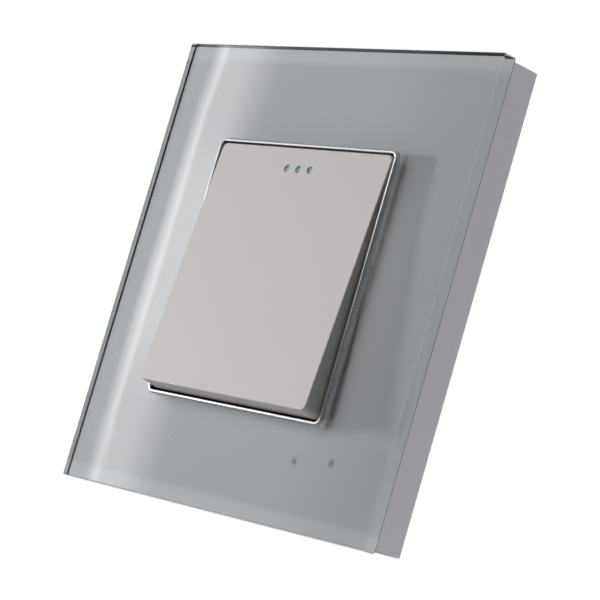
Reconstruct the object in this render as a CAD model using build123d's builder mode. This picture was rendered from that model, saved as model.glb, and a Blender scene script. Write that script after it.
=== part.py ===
"""Wireless wall switch: a square glass plate on a shallow frame, with a tilting rocker in a bright bezel.

Millimetres, +Z up. The wall is the plane Y = 0 and the switch stands out of it along -Y, so a depth
here is a distance out of the wall. The rocker is drawn with its top pressed in.
"""

import os
from math import cos, radians, sin

from build123d import *

os.makedirs("parts", exist_ok=True)

# Clearances
fit_gap = 0.2
thin_gap = 0.1
stop_gap = 0.12
bearing_gap = 0.05
guide_gap = 0.08

# Glass plate, the colour film behind it and the adhesive that holds it
plate_side = 90.0
glass_thickness = 2.8
glass_corner_cut = 0.3
glass_arris = 0.2
film_thickness = 0.1
film_setback = 0.2
tape_thickness = 0.25
tape_setback = 0.5
tape_width = 13.0

# Carrier frame
frame_inset = 0.6
frame_depth = 6.15
frame_wall = 1.6
frame_web = 1.2
frame_corner = 0.3

# Wall plate, its screw slots, adhesive pads and snap tabs
base_thickness = 1.4
base_corner = 1.0
slot_spacing = 60.3
slot_length = 8.0
slot_width = 4.2
pad_length = 60.0
pad_width = 16.0
pad_thickness = 0.8
pad_height = 24.0
tab_width = 10.0
tab_reach = 0.5
tab_back = 0.5
tab_thickness = 0.8

# Insert with the bright bezel
opening_side = 50.2
opening_corner = 1.0
collar_wall = 0.5
collar_proud = 0.7
collar_round = 0.2
shoulder_wall = 1.5
flange_width = 3.6
flange_thickness = 1.2

# Rocker
rocker_tilt = 4.11
face_height = 2.25
face_arm = 6.25
skirt_arm = 2.0
rocker_gap = 0.25
side_draft = 0.35
lip_draft = 0.45
cap_wall = 1.4
cap_corner = 1.2
cap_edge = 0.2

# Indicator lenses
lens_count = 3
lens_pitch = 3.3
lens_radius = 0.7
lens_height = 20.2
lens_recess = 0.15
lens_dome = 0.25
guide_bar_width = 10.8
guide_bar_height = 3.2
guide_bar_thickness = 1.2

# Rocker carrier and its pivots
yoke_thickness = 1.2
yoke_corner = 2.0
ear_thickness = 1.9
boss_radius = 1.9
pivot_radius = 0.8
pivot_overrun = 0.3
pusher_width = 1.2
pusher_length = 2.0
pusher_height = 6.5

# Tray
tray_floor = 0.6
tray_wall = 1.0
tray_height = 3.1
tray_corner = 1.5
bearing_wall = 2.0
bearing_width = 5.0
bearing_rise = 1.6
buffer_post_radius = 1.8
buffer_post_offset = 19.0
buffer_thickness = 0.9
lug_width = 6.0
lug_length = 4.6
lug_thickness = 1.2
lug_height = 12.0

# Screws
flange_screw_offset = 28.2
lug_screw_offset = 27.9
screw_radius = 0.7
screw_head_radius = 1.4
screw_head_height = 1.0
screw_bite = 0.8
drive_recess = 0.5

# Circuit board and what is on it
board_thickness = 1.0
board_corner = 1.2
window_width = 20.6
window_low = -11.5
window_high = 18.5
radio_spot = (-17.2, 8.0)
radio_board = (9.6, 13.0, 0.6)
radio_can = (8.4, 9.0, 1.6)
chip_spot = (19.2, 7.0)
chip_size = (4.0, 5.0, 1.1)
capacitor_spot = (19.4, -8.0)
capacitor_radius = 2.1
capacitor_height = 3.0
led_size = (1.0, 1.6, 0.6)
antenna_spot = (0.0, -20.6)
antenna_teeth = 8
antenna_pitch = 2.4
antenna_reach = 3.4
antenna_trace = 0.6
antenna_thickness = 0.2
pairing_spot = (-17.2, -10.0)
pairing_body = (4.4, 4.4, 1.5)
button_radius = 1.0
button_height = 1.2
button_proud = 0.6

# Contact plungers
plunger_x = 14.0
plunger_height = 11.0
stem_radius = 1.0
head_radius = 1.6
head_thickness = 0.8
dome_radius = 1.6
dome_height = 0.25
dome_gap = 1.0
bridge_depth = 4.3
bridge_thickness = 1.2
bridge_width = 4.0
bridge_leg = 1.4
bridge_length = 2 * (plunger_height + dome_radius + dome_gap + bridge_leg)
spring_wire = 0.2
spring_turns = 3

# Generator
lever_pivot_depth = 4.0
core_depth = 5.6
core_thickness = 1.0
core_width = 4.0
core_tip = 10.4
core_back = -15.5
yoke_bar_height = 2.5
yoke_bar_length = 16.0
core_post_radius = 1.6
core_post_x = 6.5
core_screw_radius = 0.6
core_screw_head = 1.2
coil_low = -10.5
coil_high = 6.5
coil_flange = 0.8
coil_width = 10.0
coil_depth = 3.8
bobbin_wall = 0.5
winding_inset = 0.2
winding_corner = 0.8
arm_inner = 6.5
arm_width = 1.5
arm_thickness = 1.0
arm_low = -10.0
head_low = 8.2
head_high = 17.0
lever_boss = 1.3
lever_pin_radius = 0.6
magnet_thickness = 2.8
magnet_width = 10.0
magnet_low = 11.2
magnet_high = 15.0
pole_thickness = 0.6
pole_low = 8.4
lever_bearing_gap = 0.4
lever_bearing_wall = 1.5
lever_bearing_width = 3.6
lever_bearing_rise = 1.2

# Depths that follow from the stack
web_back = frame_depth - frame_web
film_back = frame_depth + tape_thickness
glass_back = film_back + film_thickness
glass_front = glass_back + glass_thickness
flange_back = web_back - flange_thickness
bezel_front = glass_front + collar_proud
tray_back = base_thickness + thin_gap
floor_front = tray_back + tray_floor
board_front = floor_front + board_thickness
lug_back = flange_back - lug_thickness

# Sides that follow from what fits in what
frame_side = plate_side - 2 * frame_inset
frame_inner = frame_side - 2 * frame_wall
base_side = frame_inner - 2 * fit_gap
collar_side = opening_side + 2 * collar_wall
collar_corner = opening_corner + collar_wall
glass_window = collar_side + 2 * fit_gap
shoulder_side = opening_side + 2 * shoulder_wall
shoulder_corner = opening_corner + shoulder_wall
frame_window = shoulder_side + 2 * fit_gap
flange_side = shoulder_side + 2 * flange_width
tray_side = opening_side - 2 * fit_gap
board_side = tray_side - 2 * (tray_wall + fit_gap)
skirt_side = opening_side - 2 * rocker_gap
face_width = skirt_side - 2 * side_draft
face_length = skirt_side - 2 * lip_draft
cavity_arm = face_arm - cap_wall
yoke_front = cavity_arm - thin_gap
yoke_back = yoke_front - yoke_thickness
yoke_side = face_length - 2 * (cap_wall + 2 * fit_gap)

# Rocker pivot and swing
swing_sin = sin(radians(rocker_tilt))
swing_cos = cos(radians(rocker_tilt))
pivot_depth = glass_front + face_height - face_arm * swing_cos


def level(depth):
    """Plane parallel to the wall, facing the room, with X to the right and Y up."""
    return Plane.XZ.offset(depth)


def tilted(pivot, arm):
    """Plane square to a swinging piece, at an arm's length in front of its pivot."""
    origin = (0, -pivot, 0)
    return Plane(origin=origin, x_dir=(1, 0, 0), z_dir=(0, -swing_cos, swing_sin)).offset(arm)


def tilted_side(pivot, side):
    """Plane across a swinging piece's pivot at X = side, with X up the piece and Y to its front."""
    return Plane(origin=(side, -pivot, 0), x_dir=(0, swing_sin, swing_cos), z_dir=(1, 0, 0))


def cross_plane(side, depth=0):
    """Plane across the switch at X = side, with X up and Y out of the wall from a depth."""
    return Plane(origin=(side, -depth, 0), x_dir=(0, 0, 1), z_dir=(1, 0, 0))


def pressed_depth(arm, height):
    """Depth of a point of the rocker when the end that it is on is pressed in."""
    return pivot_depth + arm * swing_cos - height * swing_sin


def rounded(plane, width, height, corner):
    """Rectangle with rounded corners, centred on a plane."""
    with BuildSketch(plane) as outline:
        RectangleRounded(width, height, corner)
    return outline.sketch


def patch(plane, low, high):
    """Rectangle on a plane between two corners."""
    with BuildSketch(plane) as outline:
        with Locations(((low[0] + high[0]) / 2, (low[1] + high[1]) / 2)):
            Rectangle(high[0] - low[0], high[1] - low[1])
    return outline.sketch


def spots(plane, points, radius):
    """Equal circles on a plane."""
    with BuildSketch(plane) as outline:
        with Locations(*points):
            Circle(radius)
    return outline.sketch


def boxes(plane, points, size):
    """Equal rectangles on a plane."""
    with BuildSketch(plane) as outline:
        with Locations(*points):
            Rectangle(size[0], size[1])
    return outline.sketch


def square_of(half_x, half_y):
    """The four corner points of a rectangle."""
    return [(x, y) for x in (-half_x, half_x) for y in (-half_y, half_y)]


def keep(piece, name):
    """Label a finished piece and write it."""
    piece.part.label = name
    export_step(piece.part, f"parts/{name}.step")


# Wall plate and its adhesive pads
slot_x = slot_spacing / 2
with BuildPart() as base_plate:
    extrude(rounded(level(0), base_side, base_side, base_corner), amount=base_thickness)
    with BuildSketch(level(tab_back)):
        with PolarLocations(base_side / 2, 4):
            Rectangle(2 * tab_reach, tab_width)
    extrude(amount=tab_thickness)
    with BuildSketch(level(0)):
        with Locations((-slot_x, 0), (slot_x, 0)):
            SlotOverall(slot_length, slot_width)
    extrude(amount=base_thickness, mode=Mode.SUBTRACT)
    recess = (pad_length + 2 * fit_gap, pad_width + 2 * fit_gap)
    extrude(boxes(level(0), [(0, -pad_height), (0, pad_height)], recess),
            amount=pad_thickness, mode=Mode.SUBTRACT)
keep(base_plate, "base_plate")

with BuildPart() as wall_tape_pads:
    extrude(boxes(level(0), [(0, -pad_height), (0, pad_height)], (pad_length, pad_width)),
            amount=pad_thickness)
keep(wall_tape_pads, "wall_tape_pads")

# Carrier frame: a wall all round and a web that the glass is stuck to
flange_screws_at = square_of(flange_screw_offset, flange_screw_offset)
with BuildPart() as carrier_frame:
    extrude(rounded(level(0), frame_side, frame_side, frame_corner), amount=frame_depth)
    extrude(patch(level(0), (-frame_inner / 2,) * 2, (frame_inner / 2,) * 2),
            amount=web_back, mode=Mode.SUBTRACT)
    extrude(rounded(level(web_back), frame_window, frame_window, shoulder_corner),
            amount=frame_web, mode=Mode.SUBTRACT)
    with BuildSketch(level(tab_back - fit_gap)):
        with PolarLocations(frame_inner / 2, 4):
            Rectangle(2 * tab_reach, tab_width + 2 * fit_gap)
    extrude(amount=tab_thickness + 2 * fit_gap, mode=Mode.SUBTRACT)
    extrude(spots(level(web_back), flange_screws_at, screw_radius + bearing_gap),
            amount=screw_bite + thin_gap, mode=Mode.SUBTRACT)
keep(carrier_frame, "carrier_frame")

# Adhesive ring, colour film and glass
tape_side = frame_side - 2 * tape_setback
tape_opening = tape_side - 2 * tape_width
with BuildPart() as glass_tape:
    extrude(rounded(level(frame_depth), tape_side, tape_side, frame_corner), amount=tape_thickness)
    extrude(rounded(level(frame_depth), tape_opening, tape_opening, frame_corner),
            amount=tape_thickness, mode=Mode.SUBTRACT)
keep(glass_tape, "glass_tape")

film_side = plate_side - 2 * film_setback
with BuildPart() as colour_film:
    extrude(rounded(level(film_back), film_side, film_side, glass_corner_cut), amount=film_thickness)
    extrude(rounded(level(film_back), glass_window, glass_window, collar_corner + fit_gap),
            amount=film_thickness, mode=Mode.SUBTRACT)
keep(colour_film, "colour_film")

with BuildPart() as glass_panel:
    with BuildSketch(level(glass_back)) as glass_outline:
        Rectangle(plate_side, plate_side)
        chamfer(glass_outline.vertices(), glass_corner_cut)
        RectangleRounded(glass_window, glass_window, collar_corner + fit_gap, mode=Mode.SUBTRACT)
    extrude(amount=glass_thickness)
    front_face = glass_panel.faces().sort_by(Axis.Y)[0]
    back_face = glass_panel.faces().sort_by(Axis.Y)[-1]
    chamfer(front_face.edges() + back_face.outer_wire().edges(), glass_arris)
keep(glass_panel, "glass_panel")

# Insert: flange behind the web, shoulder in the window and the bright collar round the rocker
lug_screws_at = square_of(lug_screw_offset, lug_height)
shoulder_front = film_back - thin_gap
with BuildPart() as insert_bezel:
    extrude(rounded(level(flange_back), flange_side, flange_side, shoulder_corner), amount=flange_thickness)
    extrude(rounded(level(web_back), shoulder_side, shoulder_side, shoulder_corner),
            amount=shoulder_front - web_back)
    extrude(rounded(level(shoulder_front), collar_side, collar_side, collar_corner),
            amount=bezel_front - shoulder_front)
    extrude(rounded(level(flange_back), opening_side, opening_side, opening_corner),
            amount=bezel_front - flange_back, mode=Mode.SUBTRACT)
    extrude(spots(level(flange_back), flange_screws_at, screw_radius + thin_gap),
            amount=flange_thickness, mode=Mode.SUBTRACT)
    extrude(spots(level(flange_back), lug_screws_at, screw_radius + bearing_gap),
            amount=flange_thickness, mode=Mode.SUBTRACT)
    fillet(insert_bezel.faces().sort_by(Axis.Y)[0].edges(), collar_round)
keep(insert_bezel, "insert_bezel")


def screws(head_back, points, shank_length, shank, head):
    """Pan-head screws driven from behind, with a cross recess in each head."""
    seat = head_back + screw_head_height
    with BuildPart() as group:
        extrude(spots(level(head_back), points, head), amount=screw_head_height)
        fillet(group.faces().filter_by(Axis.Y).group_by(Axis.Y)[-1].edges(), screw_head_height / 3)
        extrude(spots(level(seat), points, shank), amount=shank_length)
        for size in ((head, shank / 2), (shank / 2, head)):
            extrude(boxes(level(head_back), points, size), amount=drive_recess, mode=Mode.SUBTRACT)
    return group


insert_screws = screws(flange_back - screw_head_height, flange_screws_at,
                       flange_thickness + screw_bite, screw_radius, screw_head_radius)
keep(insert_screws, "insert_screws")
module_screws = screws(lug_back - screw_head_height, lug_screws_at,
                       lug_thickness + screw_bite, screw_radius, screw_head_radius)
keep(module_screws, "module_screws")

# Tray with the rocker's bearings, the buffer posts, the core's posts and the lever's bearings
yoke_half = yoke_side / 2
buffer_posts_at = square_of(buffer_post_offset, buffer_post_offset)
buffer_front = pressed_depth(yoke_back, buffer_post_offset + buffer_post_radius) - stop_gap
buffer_back = buffer_front - buffer_thickness
core_back_face = core_depth - core_thickness / 2
core_front_face = core_depth + core_thickness / 2
core_posts_at = [(x, core_back + yoke_bar_height / 2) for x in (-core_post_x, core_post_x)]
lever_bearing_x = arm_inner + arm_width + lever_bearing_gap
bearing_front = pivot_depth + bearing_rise
with BuildPart() as module_case:
    extrude(rounded(level(tray_back), tray_side, tray_side, tray_corner), amount=tray_height)
    extrude(rounded(level(floor_front), tray_side - 2 * tray_wall, tray_side - 2 * tray_wall,
                    tray_corner - tray_wall), amount=tray_height, mode=Mode.SUBTRACT)
    for side in (-1, 1):
        outer = side * tray_side / 2
        inner = outer - side * bearing_wall
        low_x = min(inner, outer)
        near = (low_x, -bearing_width / 2)
        far = (low_x + bearing_wall, bearing_width / 2)
        extrude(patch(level(floor_front), near, far), amount=bearing_front - floor_front)
        lever_low = lever_bearing_x if side > 0 else -lever_bearing_x - lever_bearing_wall
        half = lever_bearing_width / 2
        extrude(patch(level(floor_front), (lever_low, -half), (lever_low + lever_bearing_wall, half)),
                amount=lever_pivot_depth + lever_bearing_rise - floor_front)
        lug_start = tray_side / 2 - tray_wall
        lug_end = tray_side / 2 + lug_length
        for height in (-lug_height, lug_height):
            near = (min(side * lug_start, side * lug_end), height - lug_width / 2)
            far = (max(side * lug_start, side * lug_end), height + lug_width / 2)
            extrude(patch(level(lug_back), near, far), amount=lug_thickness)
    extrude(spots(level(floor_front), buffer_posts_at, buffer_post_radius), amount=buffer_back - floor_front)
    extrude(spots(level(floor_front), core_posts_at, core_post_radius), amount=core_back_face - floor_front)
    extrude(spots(cross_plane(-tray_side / 2), [(0, pivot_depth)], pivot_radius + bearing_gap),
            amount=tray_side, mode=Mode.SUBTRACT)
    extrude(spots(cross_plane(-lever_bearing_x - lever_bearing_wall), [(0, lever_pivot_depth)],
                  lever_pin_radius + bearing_gap),
            amount=2 * (lever_bearing_x + lever_bearing_wall), mode=Mode.SUBTRACT)
    extrude(spots(level(lug_back), lug_screws_at, screw_radius + thin_gap),
            amount=lug_thickness, mode=Mode.SUBTRACT)
    extrude(spots(level(floor_front), core_posts_at, core_screw_radius + bearing_gap),
            amount=core_back_face - floor_front, mode=Mode.SUBTRACT)
keep(module_case, "module_case")

with BuildPart() as stop_bumpers:
    extrude(spots(level(buffer_back), buffer_posts_at, buffer_post_radius), amount=buffer_thickness)
    fillet(stop_bumpers.faces().filter_by(Axis.Y).group_by(Axis.Y)[0].edges(), buffer_thickness / 3)
keep(stop_bumpers, "stop_bumpers")

# Stub pins: a pair for the rocker and a pair for the lever
ear_outer = yoke_half
ear_inner = ear_outer - ear_thickness


def stub_pins(pivot, radius, near, far):
    """Two pins on one cross axis, one each side of the middle."""
    with BuildPart() as pair:
        for start in (-far, near):
            extrude(spots(cross_plane(start), [(0, pivot)], radius), amount=far - near)
    return pair


pivot_pins = stub_pins(pivot_depth, pivot_radius, ear_inner - pivot_overrun, tray_side / 2 - thin_gap)
keep(pivot_pins, "pivot_pins")
lever_pins = stub_pins(lever_pivot_depth, lever_pin_radius, arm_inner - pivot_overrun,
                       lever_bearing_x + lever_bearing_wall - thin_gap)
keep(lever_pins, "lever_pins")

# Circuit board with a window for the generator
board_half = board_side / 2
notch_x = tray_side / 2 - bearing_wall - fit_gap
window_half = window_width / 2
with BuildPart() as main_pcb:
    extrude(rounded(level(floor_front), board_side, board_side, board_corner), amount=board_thickness)
    extrude(patch(level(floor_front), (-window_half, window_low), (window_half, window_high)),
            amount=board_thickness, mode=Mode.SUBTRACT)
    extrude(spots(level(floor_front), buffer_posts_at, buffer_post_radius + fit_gap),
            amount=board_thickness, mode=Mode.SUBTRACT)
    extrude(spots(level(floor_front), core_posts_at, core_post_radius + fit_gap),
            amount=board_thickness, mode=Mode.SUBTRACT)
    notch_half = bearing_width / 2 + fit_gap
    for side in (-1, 1):
        near = (min(side * notch_x, side * board_half), -notch_half)
        far = (max(side * notch_x, side * board_half), notch_half)
        extrude(patch(level(floor_front), near, far), amount=board_thickness, mode=Mode.SUBTRACT)
keep(main_pcb, "main_pcb")

with BuildPart() as radio_module:
    extrude(boxes(level(board_front), [radio_spot], radio_board), amount=radio_board[2])
    extrude(boxes(level(board_front + radio_board[2]), [radio_spot], radio_can), amount=radio_can[2])
    fillet(radio_module.faces().sort_by(Axis.Y)[0].edges(), radio_can[2] / 4)
keep(radio_module, "radio_module")

with BuildPart() as rectifier_chip:
    extrude(boxes(level(board_front), [chip_spot], chip_size), amount=chip_size[2])
    chamfer(rectifier_chip.faces().sort_by(Axis.Y)[0].edges(), chip_size[2] / 5)
keep(rectifier_chip, "rectifier_chip")

with BuildPart() as storage_capacitor:
    extrude(spots(level(board_front), [capacitor_spot], capacitor_radius), amount=capacitor_height)
    fillet(storage_capacitor.faces().sort_by(Axis.Y)[0].edges(), capacitor_radius / 6)
keep(storage_capacitor, "storage_capacitor")

first_lens = -lens_pitch * (lens_count - 1) / 2
lens_spots = [(first_lens + lens_pitch * number, lens_height) for number in range(lens_count)]
with BuildPart() as status_leds:
    extrude(boxes(level(board_front), lens_spots, led_size), amount=led_size[2])
keep(status_leds, "status_leds")

# Meander of the printed antenna, drawn tooth by tooth and joined by short runs
antenna_start = antenna_spot[0] - antenna_pitch * (antenna_teeth - 1) / 2
with BuildPart() as antenna_strip:
    with BuildSketch(level(board_front)):
        for tooth in range(antenna_teeth):
            x = antenna_start + tooth * antenna_pitch
            with Locations((x, antenna_spot[1])):
                Rectangle(antenna_trace, antenna_reach)
            if tooth < antenna_teeth - 1:
                end = antenna_reach / 2 - antenna_trace / 2
                height = antenna_spot[1] + (end if tooth % 2 else -end)
                with Locations((x + antenna_pitch / 2, height)):
                    Rectangle(antenna_pitch, antenna_trace)
    extrude(amount=antenna_thickness)
keep(antenna_strip, "antenna_strip")

# Pairing switch and its button
pairing_front = board_front + pairing_body[2]
button_tip = pairing_front + button_proud
well_depth = button_height - button_proud + 3 * thin_gap
with BuildPart() as tact_switch_body:
    extrude(boxes(level(board_front), [pairing_spot], pairing_body), amount=pairing_body[2])
    extrude(spots(level(pairing_front), [pairing_spot], button_radius + thin_gap),
            amount=-well_depth, mode=Mode.SUBTRACT)
keep(tact_switch_body, "tact_switch_body")

with BuildPart() as pair_button:
    extrude(spots(level(button_tip), [pairing_spot], button_radius), amount=-button_height)
    fillet(pair_button.faces().sort_by(Axis.Y)[0].edges(), button_radius / 5)
keep(pair_button, "pair_button")

# Contact domes, the bridge that guides the plungers, the plungers and their springs
plungers_at = [(plunger_x, -plunger_height), (plunger_x, plunger_height)]
with BuildPart() as contact_domes:
    extrude(spots(level(board_front), plungers_at, dome_radius), amount=dome_height)
    chamfer(contact_domes.faces().filter_by(Axis.Y).group_by(Axis.Y)[0].edges(), dome_height / 2)
keep(contact_domes, "contact_domes")

bridge_front = bridge_depth + bridge_thickness
bridge_end = bridge_length / 2 - bridge_leg / 2
bridge_size = (bridge_width, bridge_length)
with BuildPart() as guide_bridge:
    extrude(boxes(level(bridge_depth), [(plunger_x, 0)], bridge_size), amount=bridge_thickness)
    legs_at = [(plunger_x, height) for height in (-bridge_end, 0, bridge_end)]
    extrude(boxes(level(board_front), legs_at, (bridge_width, bridge_leg)), amount=bridge_depth - board_front)
    extrude(spots(level(bridge_depth), plungers_at, stem_radius + guide_gap),
            amount=bridge_thickness, mode=Mode.SUBTRACT)
keep(guide_bridge, "guide_bridge")

plunger_travel = 2 * plunger_height * swing_sin
stem_back = board_front + dome_height + thin_gap
head_front = pressed_depth(yoke_back, plunger_height + head_radius) - stop_gap
head_back = head_front - head_thickness


def plunger(height, lift):
    """Plunger with a flat head, lifted off its dome by a distance."""
    with BuildPart() as piece:
        extrude(spots(level(stem_back + lift), [(plunger_x, height)], stem_radius),
                amount=head_back - stem_back)
        extrude(spots(level(head_back + lift), [(plunger_x, height)], head_radius), amount=head_thickness)
        fillet(piece.faces().sort_by(Axis.Y)[0].edges(), head_thickness / 4)
    return piece


def plunger_spring(height, lift):
    """Coil spring between the bridge and a plunger's head."""
    coil_radius = (stem_radius + head_radius) / 2
    room = head_back + lift - bridge_front
    climb = room - spring_wire - thin_gap
    start_depth = bridge_front + (room - climb) / 2
    with BuildPart() as piece:
        with BuildLine():
            path = Helix(climb / spring_turns, climb, coil_radius,
                         center=(plunger_x, -start_depth, height), direction=(0, -1, 0))
        with BuildSketch(Plane(origin=path @ 0, z_dir=path % 0)):
            Circle(spring_wire / 2)
        sweep()
    return piece


upper_plunger = plunger(plunger_height, 0)
keep(upper_plunger, "upper_plunger")
lower_plunger = plunger(-plunger_height, plunger_travel)
keep(lower_plunger, "lower_plunger")
upper_spring = plunger_spring(plunger_height, 0)
keep(upper_spring, "upper_spring")
lower_spring = plunger_spring(-plunger_height, plunger_travel)
keep(lower_spring, "lower_spring")

# Generator, fixed half: a T-shaped core on two posts, and a wound bobbin on its leg
with BuildPart() as iron_core:
    extrude(patch(level(core_back_face), (-core_width / 2, core_back), (core_width / 2, core_tip)),
            amount=core_thickness)
    extrude(patch(level(core_back_face), (-yoke_bar_length / 2, core_back),
                  (yoke_bar_length / 2, core_back + yoke_bar_height)), amount=core_thickness)
    extrude(spots(level(core_back_face), core_posts_at, core_screw_radius + thin_gap),
            amount=core_thickness, mode=Mode.SUBTRACT)
keep(iron_core, "iron_core")

with BuildPart() as core_screws:
    shank_back = floor_front + thin_gap
    extrude(spots(level(shank_back), core_posts_at, core_screw_radius), amount=core_front_face - shank_back)
    extrude(spots(level(core_front_face), core_posts_at, core_screw_head), amount=screw_head_height)
    head_faces = core_screws.faces().filter_by(Axis.Y).group_by(Axis.Y)[0]
    fillet(head_faces.edges(), screw_head_height / 4)
    extrude(boxes(level(core_front_face + screw_head_height), core_posts_at,
                  (core_screw_head * 2, core_screw_radius / 2)),
            amount=-drive_recess, mode=Mode.SUBTRACT)
keep(core_screws, "core_screws")


def leg_section(height, margin):
    """Rectangle round the core's leg at a height, a margin outside it."""
    across = core_width / 2 + margin
    deep = core_thickness / 2 + margin
    plane = Plane(origin=(0, -core_depth, height), x_dir=(1, 0, 0), z_dir=(0, 0, 1))
    return patch(plane, (-across, -deep), (across, deep))


coil_plane = Plane(origin=(0, -core_depth, coil_low), x_dir=(1, 0, 0), z_dir=(0, 0, 1))
coil_length = coil_high - coil_low
with BuildPart() as coil_bobbin:
    extrude(leg_section(coil_low, thin_gap + bobbin_wall), amount=coil_length)
    for start in (0, coil_length - coil_flange):
        extrude(rounded(coil_plane.offset(start), coil_width, coil_depth, bobbin_wall), amount=coil_flange)
    extrude(leg_section(coil_low, thin_gap), amount=coil_length, mode=Mode.SUBTRACT)
keep(coil_bobbin, "coil_bobbin")

with BuildPart() as coil_winding:
    winding_length = coil_length - 2 * (coil_flange + thin_gap)
    winding_start = coil_low + coil_flange + thin_gap
    extrude(rounded(coil_plane.offset(coil_flange + thin_gap), coil_width - 4 * winding_inset,
                    coil_depth - 2 * winding_inset, winding_corner), amount=winding_length)
    extrude(leg_section(winding_start, 2 * thin_gap + bobbin_wall), amount=winding_length, mode=Mode.SUBTRACT)
keep(coil_winding, "coil_winding")

# Generator, swinging half: a forked lever with the magnet between two pole plates
core_arm = core_depth - lever_pivot_depth
pole_back = core_arm - magnet_thickness / 2 - pole_thickness
pole_front = core_arm + magnet_thickness / 2 + pole_thickness
lever_half = arm_inner + arm_width
pocket_half = magnet_width / 2 + thin_gap
with BuildPart() as magnet_lever:
    arm_back = tilted(lever_pivot_depth, -arm_thickness / 2)
    for side in (-1, 1):
        near = (min(side * arm_inner, side * lever_half), arm_low)
        far = (max(side * arm_inner, side * lever_half), head_low)
        extrude(patch(arm_back, near, far), amount=arm_thickness)
        boss_plane = tilted_side(lever_pivot_depth, min(side * arm_inner, side * lever_half))
        extrude(spots(boss_plane, [(0, 0)], lever_boss), amount=arm_width)
    head_plane = tilted(lever_pivot_depth, pole_back)
    extrude(patch(head_plane, (-lever_half, head_low - thin_gap), (lever_half, head_high)),
            amount=pole_front - pole_back)
    extrude(patch(head_plane, (-pocket_half, head_low - thin_gap), (pocket_half, magnet_high + thin_gap)),
            amount=pole_front - pole_back, mode=Mode.SUBTRACT)
    extrude(spots(tilted_side(lever_pivot_depth, -lever_half), [(0, 0)], lever_pin_radius + bearing_gap),
            amount=2 * lever_half, mode=Mode.SUBTRACT)
keep(magnet_lever, "magnet_lever")

with BuildPart() as magnet:
    extrude(patch(tilted(lever_pivot_depth, pole_back + pole_thickness),
                  (-magnet_width / 2, magnet_low), (magnet_width / 2, magnet_high)), amount=magnet_thickness)
keep(magnet, "magnet")

with BuildPart() as pole_plates:
    for arm in (pole_back, pole_front - pole_thickness):
        extrude(patch(tilted(lever_pivot_depth, arm), (-magnet_width / 2, pole_low),
                      (magnet_width / 2, magnet_high)), amount=pole_thickness)
keep(pole_plates, "pole_plates")

# Rocker cap: a shell with drafted sides, a soft front edge and a hole for each lens
outward = Axis((0, 0, 0), (0, -swing_cos, swing_sin))
with BuildPart() as rocker_cap:
    with BuildSketch(tilted(pivot_depth, skirt_arm)):
        RectangleRounded(skirt_side, skirt_side, cap_corner)
    with BuildSketch(tilted(pivot_depth, face_arm)):
        RectangleRounded(face_width, face_length, cap_corner)
    loft()
    fillet(rocker_cap.faces().sort_by(outward)[-1].edges(), cap_edge)
    draft_share = (cavity_arm - skirt_arm) / (face_arm - skirt_arm)
    roof_width = skirt_side - 2 * (side_draft * draft_share + cap_wall)
    roof_length = skirt_side - 2 * (lip_draft * draft_share + cap_wall)
    with BuildSketch(tilted(pivot_depth, skirt_arm)):
        Rectangle(skirt_side - 2 * cap_wall, skirt_side - 2 * cap_wall)
    with BuildSketch(tilted(pivot_depth, cavity_arm)):
        Rectangle(roof_width, roof_length)
    loft(mode=Mode.SUBTRACT)
    extrude(spots(tilted(pivot_depth, cavity_arm), lens_spots, lens_radius + bearing_gap),
            amount=cap_wall, mode=Mode.SUBTRACT)
keep(rocker_cap, "rocker_cap")

with BuildPart() as light_guide:
    guide_back = cavity_arm - guide_bar_thickness
    extrude(boxes(tilted(pivot_depth, guide_back), [(0, lens_height)], (guide_bar_width, guide_bar_height)),
            amount=guide_bar_thickness)
    extrude(spots(tilted(pivot_depth, cavity_arm), lens_spots, lens_radius), amount=cap_wall - lens_recess)
    lens_faces = light_guide.faces().sort_by(outward)[-lens_count:]
    fillet(lens_faces.edges(), lens_dome)
keep(light_guide, "light_guide")

# Rocker carrier: a plate under the cap, an ear on each pivot and four pushers over the lever's arms
pusher_x = arm_inner + arm_width / 2
pusher_arm = lever_pivot_depth + arm_thickness / 2 + stop_gap - pivot_depth
with BuildPart() as rocker_yoke:
    extrude(rounded(tilted(pivot_depth, yoke_back), yoke_side, yoke_side, yoke_corner), amount=yoke_thickness)
    notch_half = guide_bar_width / 2 + fit_gap
    notch_low = lens_height - guide_bar_height / 2 - fit_gap
    extrude(patch(tilted(pivot_depth, yoke_back), (-notch_half, notch_low), (notch_half, yoke_side)),
            amount=yoke_thickness, mode=Mode.SUBTRACT)
    for start in (-ear_outer, ear_inner):
        ear_plane = tilted_side(pivot_depth, start)
        extrude(patch(ear_plane, (-boss_radius, 0), (boss_radius, yoke_back)), amount=ear_thickness)
        extrude(spots(ear_plane, [(0, 0)], boss_radius), amount=ear_thickness)
    extrude(spots(tilted_side(pivot_depth, -ear_outer), [(0, 0)], pivot_radius + bearing_gap),
            amount=2 * ear_outer, mode=Mode.SUBTRACT)
    extrude(boxes(tilted(pivot_depth, pusher_arm), square_of(pusher_x, pusher_height),
                  (pusher_width, pusher_length)), amount=yoke_back - pusher_arm)
keep(rocker_yoke, "rocker_yoke")
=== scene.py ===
"""Wireless wall switch: a clear glass plate over a silver film, with a tilting rocker in a bright bezel.

Metres. X runs to the right, Y into the wall and Z up, and the wall is the plane Y = 0. A depth is a
distance out of the wall, along -Y.
"""

import logging
from collections.abc import Callable, Iterable
from dataclasses import dataclass, field
from enum import Enum
from math import radians

import bmesh
import bpy
from mathutils import Matrix, Vector


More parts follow.
